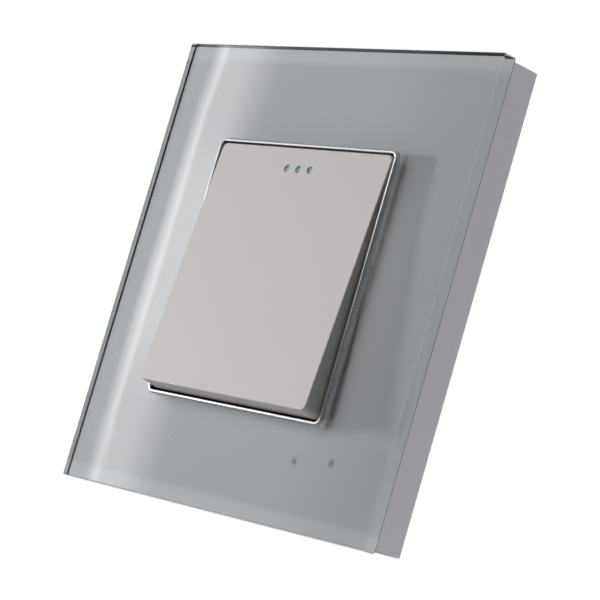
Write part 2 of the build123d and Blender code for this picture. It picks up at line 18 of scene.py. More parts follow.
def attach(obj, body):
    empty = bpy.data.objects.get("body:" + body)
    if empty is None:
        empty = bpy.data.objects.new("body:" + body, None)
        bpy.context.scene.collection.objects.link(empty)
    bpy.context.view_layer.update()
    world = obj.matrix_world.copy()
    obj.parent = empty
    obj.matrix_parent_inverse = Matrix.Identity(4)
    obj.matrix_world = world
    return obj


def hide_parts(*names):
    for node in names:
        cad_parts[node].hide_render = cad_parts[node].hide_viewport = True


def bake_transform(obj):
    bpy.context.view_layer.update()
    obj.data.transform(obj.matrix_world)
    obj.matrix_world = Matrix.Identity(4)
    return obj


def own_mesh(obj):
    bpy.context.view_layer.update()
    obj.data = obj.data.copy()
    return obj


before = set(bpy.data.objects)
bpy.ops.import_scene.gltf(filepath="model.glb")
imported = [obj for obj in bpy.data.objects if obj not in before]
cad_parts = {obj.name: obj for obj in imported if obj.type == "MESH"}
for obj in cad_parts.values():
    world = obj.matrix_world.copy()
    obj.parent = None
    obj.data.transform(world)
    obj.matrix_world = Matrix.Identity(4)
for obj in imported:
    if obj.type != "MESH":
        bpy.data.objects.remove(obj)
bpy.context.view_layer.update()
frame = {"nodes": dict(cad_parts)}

# Points closer than WELD are one point, and a cutter runs OVERRUN past its piece. What runs along an axis
# has at least ALONG of its length there. An edge that turns by more than SHARP is softened.
MM = 0.001
WELD = 0.000001
OVERRUN = 1.0 * MM
ALONG = 0.9
SHARP = radians(40.0)
QUADRANTS = [(x, z) for x in (-1, 1) for z in (-1, 1)]
WHITE = (1.0, 1.0, 1.0, 1.0)
log = logging.getLogger("wall_switch")

Shape = bpy.types.Object
Paint = bpy.types.Material
Socket = bpy.types.NodeSocket
Colour = tuple[float, float, float]
Point = tuple[float, float, float]
Test = Callable[[bmesh.types.BMEdge | bmesh.types.BMFace], bool]


class Body(Enum):
    """Moving bodies of the switch that new pieces ride on."""

    HOUSING = "housing"
    ROCKER = "rocker"
    UPPER_CONTACT = "upper_contact"


class Part(Enum):
    """What is selected in edit mode."""

    EDGES = "EDGE"
    FACES = "FACE"


class Glazing(Enum):
    """Surfaces of the glass plate, by the number of their material."""

    CLEAR = 0
    CUT = 1
    GROUND = 2
    # Back arrises, painted near black as shade where the plate's edge looks through to dark surroundings.
    SEALED = 3


# Modelling


def release() -> None:
    """Leave edit mode and deselect everything."""
    if bpy.context.mode != "OBJECT":
        bpy.ops.object.mode_set(mode="OBJECT")
    bpy.ops.object.select_all(action="DESELECT")


def pick(piece: Shape) -> None:
    """Select one piece alone and make it the active one."""
    release()
    piece.select_set(True)
    bpy.context.view_layer.objects.active = piece


def mark(piece: Shape, kind: Part, test: Test) -> None:
    """Open a piece in edit mode and select the edges or faces that pass a test.

    Args:
        piece: The piece to open.
        kind: Whether edges or faces are tested.
        test: Says whether one edge or face is selected.
    """
    pick(piece)
    bpy.ops.object.mode_set(mode="EDIT")
    bpy.ops.mesh.select_mode(type=kind.value)
    bpy.ops.mesh.select_all(action="DESELECT")
    shell = bmesh.from_edit_mesh(piece.data)
    members = shell.edges if kind is Part.EDGES else shell.faces
    chosen = [member for member in members if test(member)]
    for member in chosen:
        member.select_set(True)
    bmesh.update_edit_mesh(piece.data)


def place(piece: Shape) -> None:
    """Put a piece's place, turn and size into its mesh, and its object at the origin."""
    pick(piece)
    bpy.ops.object.transform_apply(location=True, rotation=True, scale=True)


def named(name: str) -> Shape:
    """Name the shape that was just added, and put its place into its mesh."""
    piece = bpy.context.active_object
    piece.name = name
    place(piece)
    return piece


def stand(name: str, data: bpy.types.ID) -> bpy.types.Object:
    """Put an object for a mesh, a camera or a light into the scene."""
    thing = bpy.data.objects.new(name, data)
    bpy.context.scene.collection.objects.link(thing)
    return thing


def runs_out(edge: bmesh.types.BMEdge) -> bool:
    """Whether an edge runs out of the wall."""
    run = edge.verts[0].co - edge.verts[1].co
    return abs(run.y) > ALONG * run.length


def lies_at(depth: float) -> Test:
    """Test for the edges that lie at one depth."""
    return lambda edge: all(abs(end.co.y + depth) < WELD for end in edge.verts)


def round_edges(piece: Shape, test: Test, width: float, steps: int) -> None:
    """Bevel the edges of a piece that pass a test.

    Args:
        piece: The piece to bevel.
        test: Says whether an edge is bevelled.
        width: The width of the bevel.
        steps: The number of its facets.
    """
    mark(piece, Part.EDGES, test)
    bpy.ops.mesh.bevel(offset=width, segments=steps, affect="EDGES")
    release()


def slab(name: str, width: float, length: float, near: float, far: float, corner: float = 0.0,
         steps: int = 8, centre: tuple[float, float] = (0.0, 0.0)) -> Shape:
    """Plate parallel to the wall, with its four corners rounded or cut.

    Args:
        name: The name of the new piece.
        width: Its size along X.
        length: Its size along Z.
        near: The depth of its back.
        far: The depth of its front.
        corner: The radius or cut of its corners.
        steps: The number of facets in a corner, one for a straight cut.
        centre: The X and Z of its middle.

    Returns:
        The new piece.
    """
    release()
    bpy.ops.mesh.primitive_cube_add(size=1, location=(centre[0], -(near + far) / 2, centre[1]),
                                    scale=(width, far - near, length))
    piece = named(name)
    if corner:
        round_edges(piece, runs_out, corner, steps)
    return piece


def pin(x: float, z: float, near: float, far: float, radius: float, sides: int) -> Shape:
    """Round bar that runs out of the wall.

    Args:
        x: Its place along X.
        z: Its height.
        near: The depth of its back.
        far: The depth of its front.
        radius: Its radius.
        sides: The number of its facets.

    Returns:
        The new piece.
    """
    release()
    bpy.ops.mesh.primitive_cylinder_add(vertices=sides, radius=radius, depth=far - near,
                                        location=(x, -(near + far) / 2, z), rotation=(radians(90), 0, 0))
    return named("pin")


def apply(piece: Shape, kind: str, **settings: object) -> None:
    """Give a piece a modifier and apply it.

    Args:
        piece: The piece.
        kind: The modifier's type.
        settings: Attributes to set on it.
    """
    pick(piece)
    step = piece.modifiers.new("step", kind)
    for name, value in settings.items():
        setattr(step, name, value)
    bpy.ops.object.modifier_apply(modifier=step.name)


def combine(piece: Shape, others: Iterable[Shape], operation: str) -> None:
    """Cut other pieces out of a piece, add them to it or keep what it shares with them, and delete them."""
    for other in others:
        apply(piece, "BOOLEAN", operation=operation, solver="EXACT", object=other)
        bpy.data.objects.remove(other)


def carve(piece: Shape, *cutters: Shape) -> None:
    """Cut pieces out of a piece."""
    combine(piece, cutters, "DIFFERENCE")


def fuse(piece: Shape, *others: Shape) -> None:
    """Add pieces to a piece."""
    combine(piece, others, "UNION")


def pierce(piece: Shape, side: float, near: float, far: float, corner: float, steps: int = 8) -> None:
    """Cut a square window through a piece, from the depth of its back to that of its front."""
    carve(piece, slab("cutter", side, side, near - OVERRUN, far + OVERRUN, corner, steps))


def ease(piece: Shape, width: float) -> None:
    """Soften every sharp edge of a piece over a width."""
    apply(piece, "BEVEL", width=width, segments=2, limit_method="ANGLE", angle_limit=SHARP,
          harden_normals=False)


# Materials


class Sheet:
    """A node tree with short calls for adding and joining its nodes."""

    def __init__(self, tree: bpy.types.NodeTree) -> None:
        """Keep the tree that the nodes go into."""
        self.tree = tree

    def add(self, kind: str, **settings: object) -> bpy.types.Node:
        """Add a node.

        Args:
            kind: The node's type, without its common prefix.
            settings: Attributes to set on it.

        Returns:
            The new node.
        """
        node = self.tree.nodes.new("ShaderNode" + kind)
        for name, value in settings.items():
            setattr(node, name, value)
        return node

    def feed(self, target: Socket, value: object) -> None:
        """Join an input socket to an output socket, or set its value."""
        if isinstance(value, Socket):
            self.tree.links.new(value, target)
        else:
            target.default_value = value

    def fill(self, node: bpy.types.Node, **values: object) -> bpy.types.bpy_prop_collection:
        """Feed a node's inputs.

        Args:
            node: The node.
            values: A value for each input, with an underscore for each space in its name.

        Returns:
            The node's outputs.
        """
        for name, value in values.items():
            self.feed(node.inputs[name.replace("_", " ")], value)
        return node.outputs

    def math(self, operation: str, first: object, second: object = 0.0) -> Socket:
        """Add a Math node.

        Args:
            operation: What it does.
            first: Its first value.
            second: Its second value.

        Returns:
            Its result.
        """
        node = self.add("Math", operation=operation)
        self.feed(node.inputs[0], first)
        self.feed(node.inputs[1], second)
        return node.outputs[0]

    def ramp(self, value: object, low: object, high: object, start: object = 0.0, end: object = 1.0,
             smooth: bool = True) -> Socket:
        """Map a range of a value to another range.

        Args:
            value: The value that is mapped.
            low: The start of its range.
            high: The end of its range.
            start: What the start becomes.
            end: What the end becomes.
            smooth: Whether it eases in and out.

        Returns:
            The mapped value.
        """
        node = self.add("MapRange", interpolation_type="SMOOTHSTEP" if smooth else "LINEAR")
        return self.fill(node, Value=value, From_Min=low, From_Max=high, To_Min=start, To_Max=end)["Result"]

    def blend(self, mask: object, first: object, second: object) -> Socket:
        """Mix two colours.

        Args:
            mask: How much of the second one shows.
            first: The first colour.
            second: The second colour.

        Returns:
            The mixed colour.
        """
        node = self.add("Mix", data_type="RGBA")
        sockets = [socket for socket in node.inputs if socket.enabled]
        for target, value in zip(sockets, (mask, first, second)):
            self.feed(target, value)
        return next(socket for socket in node.outputs if socket.enabled)

    def mix_shaders(self, mask: Socket, first: Socket, second: Socket) -> Socket:
        """Mix two shaders, with a mask for how much of the second one shows."""
        node = self.add("MixShader")
        for target, value in zip(node.inputs, (mask, first, second)):
            self.feed(target, value)
        return node.outputs["Shader"]

    def place(self) -> Socket:
        """The place on the piece, in metres."""
        return self.add("TexCoord").outputs["Object"]

    def mapped(self, **change: Point) -> Socket:
        """The place on the piece, with the scale or the turn that is given."""
        return self.fill(self.add("Mapping"), Vector=self.place(), **change)["Vector"]

    def axes(self, vector: Socket | None = None) -> bpy.types.bpy_prop_collection:
        """X, Y and Z of a vector, or of the place on the piece if none is given."""
        return self.fill(self.add("SeparateXYZ"), Vector=vector or self.place())

    def noise(self, scale: object, detail: float, vector: Socket | None = None) -> Socket:
        """Value of a Noise texture at a vector, or at the place on the piece if none is given."""
        node = self.add("TexNoise")
        return self.fill(node, Vector=vector or self.place(), Scale=scale, Detail=detail)["Fac"]

    def use(self, effect: bpy.types.NodeTree, **values: object) -> bpy.types.bpy_prop_collection:
        """Place a shared effect in this tree, with values for its inputs, and give its outputs."""
        return self.fill(self.add("Group", node_tree=effect), **values)


class Effects:
    """Shared effects, each a node group that is built once."""

    def __init__(self) -> None:
        """Build the groups."""
        self.grain = self.build_grain()
        self.specks = self.build_specks()
        self.wear = self.build_wear()
        self.lines = self.build_lines()

    @staticmethod
    def start(name: str, inputs: dict[str, float], outputs: Iterable[str]) -> tuple[Sheet, dict, dict]:
        """Start a node group with its sockets.

        Args:
            name: The group's name.
            inputs: Its inputs and their usual values.
            outputs: Its outputs.

        Returns:
            The sheet, the input sockets by name and the output sockets by name.
        """
        tree = bpy.data.node_groups.new(name, "ShaderNodeTree")
        for title, value in inputs.items():
            socket = tree.interface.new_socket(title, in_out="INPUT", socket_type="NodeSocketFloat")
            socket.default_value = value
        for title in outputs:
            tree.interface.new_socket(title, in_out="OUTPUT", socket_type="NodeSocketFloat")
        given = tree.nodes.new("NodeGroupInput")
        taken = tree.nodes.new("NodeGroupOutput")
        return Sheet(tree), given.outputs, taken.inputs

    def build_grain(self) -> bpy.types.NodeTree:
        """Fine moulded texture: a slow mottling and a quick height."""
        sheet, given, taken = self.start("fine_grain", {"Scale": 4000.0, "Mottle Scale": 60.0},
                                         ("Height", "Mottle"))
        sheet.feed(taken["Height"], sheet.noise(given["Scale"], detail=2.0))
        sheet.feed(taken["Mottle"], sheet.noise(given["Mottle Scale"], detail=4.0))
        return sheet.tree

    def build_specks(self) -> bpy.types.NodeTree:
        """Scattered round specks of dust, few of the cells holding one."""
        sheet, given, taken = self.start("dust_specks", {"Scale": 400.0, "Size": 0.1, "Share": 0.1},
                                         ("Mask",))
        least = 0.4
        core = 0.5
        cells = sheet.fill(sheet.add("TexVoronoi"), Vector=sheet.place(), Scale=given["Scale"])
        chance = sheet.fill(sheet.add("SeparateColor"), Color=cells["Color"])
        held = sheet.math("LESS_THAN", chance["Red"], given["Share"])
        size = sheet.math("MULTIPLY", given["Size"], sheet.math("ADD", chance["Green"], least))
        dot = sheet.ramp(cells["Distance"], sheet.math("MULTIPLY", size, core), size, 1.0, 0.0)
        sheet.feed(taken["Mask"], sheet.math("MULTIPLY", held, dot))
        return sheet.tree

    def build_wear(self) -> bpy.types.NodeTree:
        """Mask for edges, broken up by noise."""
        sheet, given, taken = self.start("edge_wear", {"Start": 0.52, "End": 0.62, "Scale": 900.0},
                                         ("Mask",))
        edge = sheet.add("NewGeometry").outputs["Pointiness"]
        sharp = sheet.ramp(edge, given["Start"], given["End"])
        broken = sheet.ramp(sheet.noise(given["Scale"], detail=3.0), low=0.35, high=0.7)
        sheet.feed(taken["Mask"], sheet.math("MULTIPLY", sharp, broken))
        return sheet.tree

    def build_lines(self) -> bpy.types.NodeTree:
        """Fine drawn lines that run along Z on a metal."""
        sheet, given, taken = self.start("drawn_lines", {"Scale": 9000.0}, ("Height",))
        drawn = sheet.mapped(Scale=(1.0, 1.0, 0.02))
        sheet.feed(taken["Height"], sheet.noise(given["Scale"], detail=2.0, vector=drawn))
        return sheet.tree


effects = Effects()


class Coat(Sheet):
    """A new material with its shader."""

    noise_range: tuple[float, float] = (0.3, 0.7)

    def __init__(self, name: str) -> None:
        """Start the material under its name."""
        self.paint = bpy.data.materials.new(name)
        self.paint.use_nodes = True
        super().__init__(self.paint.node_tree)
        self.shader = self.tree.nodes["Principled BSDF"]

    def bump(self, height: Socket, strength: float, depth: float) -> None:
        """Raise the surface by a height.

        Args:
            height: The height, from 0 to 1.
            strength: How much of it shows.
            depth: The real depth of the relief.
        """
        raised = self.fill(self.add("Bump"), Strength=strength, Distance=depth, Height=height)
        self.feed(self.shader.inputs["Normal"], raised["Normal"])

    def shine(self, noise: Socket, roughness: float, spread: float = 0.05) -> None:
        """Let the roughness follow a noise.

        Args:
            noise: The noise, from 0 to 1.
            roughness: The middle roughness.
            spread: How far the roughness goes up and down.
        """
        varied = self.ramp(noise, *self.noise_range, roughness - spread, roughness + spread)
        self.feed(self.shader.inputs["Roughness"], varied)


def with_alpha(colour: Colour) -> tuple[float, float, float, float]:
    """A colour with full alpha."""
    return (*colour, 1.0)


def shade(colour: Colour, factor: float) -> tuple[float, float, float, float]:
    """A colour made darker or lighter by a factor, with full alpha."""
    return with_alpha(tuple(min(1.0, part * factor) for part in colour))


@dataclass(frozen=True)
class Moulded:
    """Moulded plastic, rubber or foam, with a fine grain, a slow mottling and rubbed edges."""

    name: str
    colour: Colour
    roughness: float = 0.45
    grain_scale: float = 4500.0
    relief: float = 0.00001
    mottle: float = 0.03
    wear: float = 0.15
    dust: float = 0.0
    specular: float = 0.5
    worn_gain: float = 1.5
    dust_gain: float = 0.8

    def paint(self) -> Paint:
        """Build the material.

        Returns:
            The material.
        """
        coat = Coat(self.name)
        grain = coat.use(effects.grain, Scale=self.grain_scale)
        tone = coat.blend(grain["Mottle"], shade(self.colour, 1 - self.mottle),
                          shade(self.colour, 1 + self.mottle))
        worn = coat.math("MULTIPLY", coat.use(effects.wear)["Mask"], self.wear)
        tone = coat.blend(worn, tone, shade(self.colour, self.worn_gain))
        if self.dust:
            specks = coat.use(effects.specks, Scale=500.0, Size=0.06, Share=self.dust)
            tone = coat.blend(specks["Mask"], tone, shade(self.colour, self.dust_gain))
        coat.fill(coat.shader, Base_Color=tone, Specular_IOR_Level=self.specular)
        coat.shine(grain["Height"], self.roughness)
        coat.bump(grain["Height"], strength=0.4, depth=self.relief)
        return coat.paint


@dataclass(frozen=True)
class Metal:
    """Metal with drawn lines or a grain, and brighter edges."""

    name: str
    colour: Colour
    roughness: float = 0.3
    relief: float = 0.000004
    tarnish: float = 0.12
    worn_gain: float = 1.2

    def paint(self) -> Paint:
        """Build the material.

        Returns:
            The material.
        """
        coat = Coat(self.name)
        grain = coat.use(effects.grain, Scale=7000.0, Mottle_Scale=250.0)
        lines = coat.use(effects.lines)
        tone = coat.blend(grain["Mottle"], shade(self.colour, 1 - self.tarnish),
                          shade(self.colour, 1 + self.tarnish / 2))
        tone = coat.blend(coat.use(effects.wear)["Mask"], tone, shade(self.colour, self.worn_gain))
        coat.fill(coat.shader, Base_Color=tone, Metallic=1.0)
        coat.shine(lines["Height"], self.roughness, spread=0.06)
        coat.bump(lines["Height"], strength=0.3, depth=self.relief)
        return coat.paint


@dataclass(frozen=True)
class ClearGlass:
    """Clear glass, polished or ground, that lets the studio light straight through to what is behind."""

    name: str
    tint: Colour
    roughness: float
    smudge: float
    wave_scale: float
    relief: float
    smudge_range: tuple[float, float] = (0.45, 0.75)

    def paint(self) -> Paint:
        """Build the material.

        Returns:
            The material.
        """
        coat = Coat(self.name)
        tint = with_alpha(self.tint)
        grain = coat.use(effects.grain, Scale=self.wave_scale, Mottle_Scale=90.0)
        shine = coat.ramp(grain["Mottle"], *self.smudge_range, self.roughness, self.roughness + self.smudge)
        seen = coat.fill(coat.shader, Base_Color=tint, Transmission_Weight=1.0, IOR=1.5,
                         Roughness=shine)["BSDF"]
        coat.bump(grain["Height"], strength=0.5, depth=self.relief)
        clear = coat.fill(coat.add("BsdfTransparent"), Color=tint)["BSDF"]
        paths = coat.add("LightPath").outputs
        for path in ("Is Diffuse Ray", "Is Shadow Ray"):
            seen = coat.mix_shaders(paths[path], seen, clear)
        coat.fill(coat.tree.nodes["Material Output"], Surface=seen)
        return coat.paint


@dataclass(frozen=True)
class PrintedFilm:
    """Silver-grey back print with painted light along its top and bottom, a painted dark edge that stands
    for shade, two spots and dust.
    """

    name: str = "film_print"
    colour: Colour = (0.392, 0.403, 0.427)
    mottle: float = 0.015
    roughness: float = 0.5
    half_side: float = 44.8 * MM
    front: float = 6.5 * MM
    # The margin band along the top and bottom is painted lighter by a gain: painted light standing in for
    # light that the glass's edges pipe into the print.
    margin: float = 3.7 * MM
    painted_light_gain: float = 1.2
    # The outermost edge is painted near black as shade, standing in for the dark gap between the film's
    # edge and the glass's edge.
    dark_edge_shade_width: float = 0.12 * MM
    dark_edge_shade_colour: Colour = (0.015, 0.017, 0.018)
    spots: tuple[tuple[float, float], ...] = ((19.6 * MM, -32.6 * MM), (29.3 * MM, -31.5 * MM))
    spot_radius: float = 1.1 * MM
    spot_gain: float = 0.45
    dust: float = 0.5
    dust_colour: Colour = (0.85, 0.85, 0.85)

    def near_side(self, coat: Coat, outwards: Socket, width: float) -> Socket:
        """Mask that comes on over the inner half of a band of some width along the film's side."""
        return coat.ramp(outwards, self.half_side - width, self.half_side - width / 2)

    def paint(self) -> Paint:
        """Build the material.

        Returns:
            The material.
        """
        coat = Coat(self.name)
        grain = coat.use(effects.grain, Scale=6000.0, Mottle_Scale=25.0)
        tone = coat.blend(grain["Mottle"], shade(self.colour, 1 - self.mottle),
                          shade(self.colour, 1 + self.mottle))
        axes = coat.axes()
        height = coat.math("ABSOLUTE", axes["Z"])
        # Painted light: the print is lighter near its top and bottom edges.
        tone = coat.blend(self.near_side(coat, height, self.margin), tone,
                          shade(self.colour, self.painted_light_gain))
        outwards = coat.math("MAXIMUM", coat.math("ABSOLUTE", axes["X"]), height)
        # Painted shade: the film's outermost edge is made near black.
        tone = coat.blend(self.near_side(coat, outwards, self.dark_edge_shade_width), tone, with_alpha(self.dark_edge_shade_colour))
        for x, z in self.spots:
            spot = coat.add("VectorMath", operation="DISTANCE")
            coat.feed(spot.inputs[0], coat.place())
            coat.feed(spot.inputs[1], (x, -self.front, z))
            stain = coat.ramp(spot.outputs["Value"], 0.0, self.spot_radius, start=1.0, end=0.0)
            tone = coat.blend(stain, tone, shade(self.colour, self.spot_gain))
        specks = coat.use(effects.specks, Scale=230.0, Size=0.055, Share=0.05)
        dust = coat.math("MULTIPLY", specks["Mask"], self.dust)
        tone = coat.blend(dust, tone, with_alpha(self.dust_colour))
        coat.fill(coat.shader, Base_Color=tone, Specular_IOR_Level=0.0)
        coat.shine(grain["Height"], self.roughness)
        return coat.paint


@dataclass(frozen=True)
class Lens:
    """Moulded translucent lens with a bright polished dome."""

    name: str
    colour: Colour
    core: Colour

    def paint(self) -> Paint:
        """Build the material.

        Returns:
            The material.
        """
        coat = Coat(self.name)
        grain = coat.use(effects.grain, Scale=2500.0, Mottle_Scale=900.0)
        tone = coat.blend(grain["Mottle"], with_alpha(self.colour), with_alpha(self.core))
        coat.fill(coat.shader, Base_Color=tone, Roughness=0.12, Subsurface_Weight=0.3,
                  Subsurface_Scale=0.5 * MM, Coat_Weight=0.6, Coat_Roughness=0.04)
        coat.bump(grain["Mottle"], strength=0.15, depth=0.01 * MM)
        return coat.paint


@dataclass(frozen=True)
class Board:
    """Circuit board: solder mask over copper runs, with tinned dots."""

    name: str = "solder_mask"
    mask: Colour = (0.015, 0.11, 0.05)
    run: Colour = (0.04, 0.2, 0.09)
    dot: Colour = (0.62, 0.6, 0.55)

    def paint(self) -> Paint:
        """Build the material.

        Returns:
            The material.
        """
        coat = Coat(self.name)
        flat = coat.mapped(Rotation=(radians(90), 0, 0))
        runs = coat.fill(coat.add("TexBrick"), Vector=flat, Scale=260.0, Mortar_Size=0.05, Brick_Width=1.4,
                         Row_Height=0.35)["Fac"]
        tone = coat.blend(runs, with_alpha(self.mask), with_alpha(self.run))
        dots = coat.use(effects.specks, Scale=330.0, Size=0.22, Share=0.3)["Mask"]
        coat.fill(coat.shader, Base_Color=coat.blend(dots, tone, with_alpha(self.dot)), Metallic=dots,
                  Roughness=coat.ramp(runs, 0.0, 1.0, start=0.35, end=0.28))
        coat.bump(coat.math("ADD", runs, dots), strength=0.5, depth=0.03 * MM)
        return coat.paint


@dataclass(frozen=True)
class Winding:
    """Enamelled copper wire wound in turns along Z, with painted shade in the grooves between turns."""

    name: str = "wound_copper"
    colour: Colour = (0.62, 0.24, 0.1)
    # gap is the darker copper of the painted shade in the grooves between turns.
    gap: Colour = (0.16, 0.05, 0.02)
    wire: float = 0.16 * MM
    gap_end: float = 0.8
    bare_end: float = 0.6
    bare: tuple[float, float] = (0.2, 0.9)

    def paint(self) -> Paint:
        """Build the material.

        Returns:
            The material.
        """
        coat = Coat(self.name)
        turn = coat.math("FRACT", coat.math("DIVIDE", coat.axes()["Z"], self.wire))
        crown = coat.math("SINE", coat.math("MULTIPLY", turn, radians(180)))
        # Painted shade: the grooves between turns are a darker copper, where shade falls between the round
        # wires.
        risen = coat.ramp(crown, 0.0, self.gap_end)
        tone = coat.blend(risen, with_alpha(self.gap), with_alpha(self.colour))
        bare = coat.ramp(crown, 0.0, self.bare_end, *self.bare)
        coat.fill(coat.shader, Base_Color=tone, Metallic=bare, Roughness=0.25)
        coat.bump(crown, strength=0.8, depth=self.wire / 2)
        return coat.paint


def made(paint: Callable[[], Paint]) -> Paint:
    """Field whose material is built along with the other finishes."""
    return field(default_factory=paint)


@dataclass(frozen=True)
class Finishes:
    """Every finish of the switch, built once."""

    glass: Paint = made(ClearGlass("clear_glass", (0.975, 0.985, 0.98), 0.01, 0.012, 90.0, 0.0000015).paint)
    cut_glass: Paint = made(ClearGlass("cut_glass", (0.95, 0.975, 0.965), 0.05, 0.05, 400.0,
                                       0.000002).paint)
    ground_glass: Paint = made(ClearGlass("ground_glass", (0.93, 0.96, 0.95), 0.22, 0.1, 3000.0,
                                          0.000002).paint)
    film: Paint = made(PrintedFilm().paint)
    adhesive: Paint = made(Moulded("dark_adhesive", (0.03, 0.03, 0.035), 0.8, 2500.0, 0.00004, 0.15,
                                   0.0).paint)
    frame: Paint = made(Moulded("frame_paint", (0.32, 0.32, 0.345), 0.42, 5200.0, 0.000006, 0.02, 0.12,
                                0.02).paint)
    # Near-black painted shade for the glass's back arrises, standing in for the dark seen through the
    # plate's edge.
    dark_arris_shade: Paint = made(Moulded("dark_arris_shade", (0.012, 0.014, 0.014), 0.6, 3000.0, 0.000004, 0.2, 0.0,
                                    0.0, 0.2).paint)
    bezel: Paint = made(Metal("bezel_metal", (0.52, 0.52, 0.53), 0.28, 0.000001, 0.04).paint)
    rocker: Paint = made(Moulded("rocker_plastic", (0.585, 0.555, 0.55), 0.55, 5200.0, 0.000008, 0.012,
                                 0.1, 0.03, 0.3).paint)
    lens: Paint = made(Lens("jade_lens", (0.14, 0.26, 0.21), (0.23, 0.38, 0.32)).paint)
    white: Paint = made(Moulded("white_moulding", (0.62, 0.62, 0.60), 0.5).paint)
    dark: Paint = made(Moulded("dark_moulding", (0.02, 0.02, 0.022), 0.5).paint)
    liner: Paint = made(Moulded("pale_adhesive", (0.66, 0.65, 0.6), 0.7, 1800.0, 0.00006, 0.06, 0.0,
                                0.05).paint)
    rubber: Paint = made(Moulded("black_rubber", (0.015, 0.015, 0.015), 0.75).paint)
    chip: Paint = made(Moulded("chip_black", (0.012, 0.012, 0.012), 0.4).paint)
    zinc: Paint = made(Metal("zinc_steel", (0.56, 0.57, 0.6), 0.32).paint)
    iron: Paint = made(Metal("soft_iron", (0.3, 0.3, 0.31), 0.45).paint)
    nickel: Paint = made(Metal("nickel_plate", (0.7, 0.67, 0.62), 0.18).paint)
    tin: Paint = made(Metal("tinned_can", (0.62, 0.62, 0.6), 0.35).paint)
    sleeve: Paint = made(Metal("capacitor_sleeve", (0.55, 0.57, 0.6), 0.28).paint)
    copper: Paint = made(Metal("bare_copper", (0.72, 0.36, 0.2), 0.3).paint)
    winding: Paint = made(Winding().paint)
    board: Paint = made(Board().paint)
    led: Paint = made(Lens("led_body", (0.6, 0.62, 0.5), (0.75, 0.76, 0.66)).paint)


def complete(piece: Shape, node: str, slot: str, *paints: Paint, body: Body | None = Body.HOUSING,
             angle: float = 30.0) -> None:
    """Merge doubles, turn the faces outwards, smooth what is nearly flat, dress a piece and seat it.

    Args:
        piece: The piece.
        node: The CAD node that it stands for.
        slot: The name of the material slot that it stands for; not used.
        paints: Its materials, the first of them on every face.
        body: The body that it rides on, none for a piece that rides on no body.
        angle: The largest turn in degrees that is shaded smooth.
    """
    mark(piece, Part.FACES, lambda face: True)
    bpy.ops.mesh.remove_doubles(threshold=WELD)
    bpy.ops.mesh.normals_make_consistent(inside=False)
    place(piece)
    bpy.ops.object.shade_smooth_by_angle(angle=radians(angle))
    apply(piece, "WEIGHTED_NORMAL", keep_sharp=True)
    piece.data.materials.clear()
    for paint in paints:
        piece.data.materials.append(paint)
    if body:
        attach(piece, body.value)
    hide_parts(node)
    log.info("%s stands for %s, %d faces", piece.name, node, len(piece.data.polygons))


# Sub-assemblies


@dataclass
class GlassFront:
    """Glass plate, the film behind it and the adhesive ring that holds them."""

    finishes: Finishes
    side: float = 90.0 * MM
    corner_cut: float = 0.3 * MM
    arris: float = 0.2 * MM
    arris_steps: int = 3
    back: float = 6.5 * MM
    front: float = 9.3 * MM
    window: float = 51.6 * MM
    window_corner: float = 1.7 * MM
    window_arris: float = 0.2 * MM
    smooth: float = 20.0
    flat: float = 0.999
    upright: float = 0.1
    film_side: float = 89.6 * MM
    film_back: float = 6.4 * MM
    film_bond: float = 0.03 * MM
    tape_side: float = 87.8 * MM
    tape_opening: float = 61.8 * MM
    tape_back: float = 6.15 * MM
    tape_corner: float = 0.3 * MM

    def build(self) -> None:
        """Build and dress the plate, the film and the ring."""
        self.build_glass()
        self.build_film()
        self.build_tape()

    def build_glass(self) -> None:
        """Plate with cut corners, ground front arrises, back arrises painted dark as shade, and a window.
        """
        piece = slab("clear_front", self.side, self.side, self.back, self.front, self.corner_cut, 1)
        round_edges(piece, lambda edge: not runs_out(edge), self.arris, self.arris_steps)
        pierce(piece, self.window, self.back, self.front, self.window_corner)
        at_front = lies_at(self.front)
        reach = self.window / 2 + WELD

        def rim(edge: bmesh.types.BMEdge) -> bool:
            """Whether an edge is the front rim of the window."""
            return at_front(edge) and all(max(abs(end.co.x), abs(end.co.z)) < reach for end in edge.verts)

        round_edges(piece, rim, self.window_arris, self.arris_steps)
        finishes = self.finishes
        complete(piece, "glass_panel", "clear_glass", finishes.glass, finishes.cut_glass,
                 finishes.ground_glass, finishes.dark_arris_shade, angle=self.smooth)
        for face in piece.data.polygons:
            face.material_index = self.surface_of(face).value

    def surface_of(self, face: bpy.types.MeshPolygon) -> Glazing:
        """Surface that one face of the plate belongs to, from its direction and depth."""
        if abs(face.normal.y) > self.flat:
            return Glazing.CLEAR
        if abs(face.normal.y) < self.upright:
            return Glazing.CUT
        # Back arrises take the near-black painted shade; front ones are ground glass.
        return Glazing.GROUND if -face.center.y > (self.back + self.front) / 2 else Glazing.SEALED

    def build_film(self) -> None:
        """Film bonded to the back of the glass."""
        piece = slab("silver_print", self.film_side, self.film_side, self.film_back,
                     self.back + self.film_bond, self.corner_cut, 1)
        pierce(piece, self.window, self.film_back, self.back, self.window_corner)
        complete(piece, "colour_film", "silver_film", self.finishes.film)

    def build_tape(self) -> None:
        """Adhesive ring between the film and the frame."""
        piece = slab("adhesive_ring", self.tape_side, self.tape_side, self.tape_back, self.film_back,
                     self.tape_corner)
        pierce(piece, self.tape_opening, self.tape_back, self.film_back, self.tape_corner)
        complete(piece, "glass_tape", "dark_adhesive", self.finishes.adhesive)


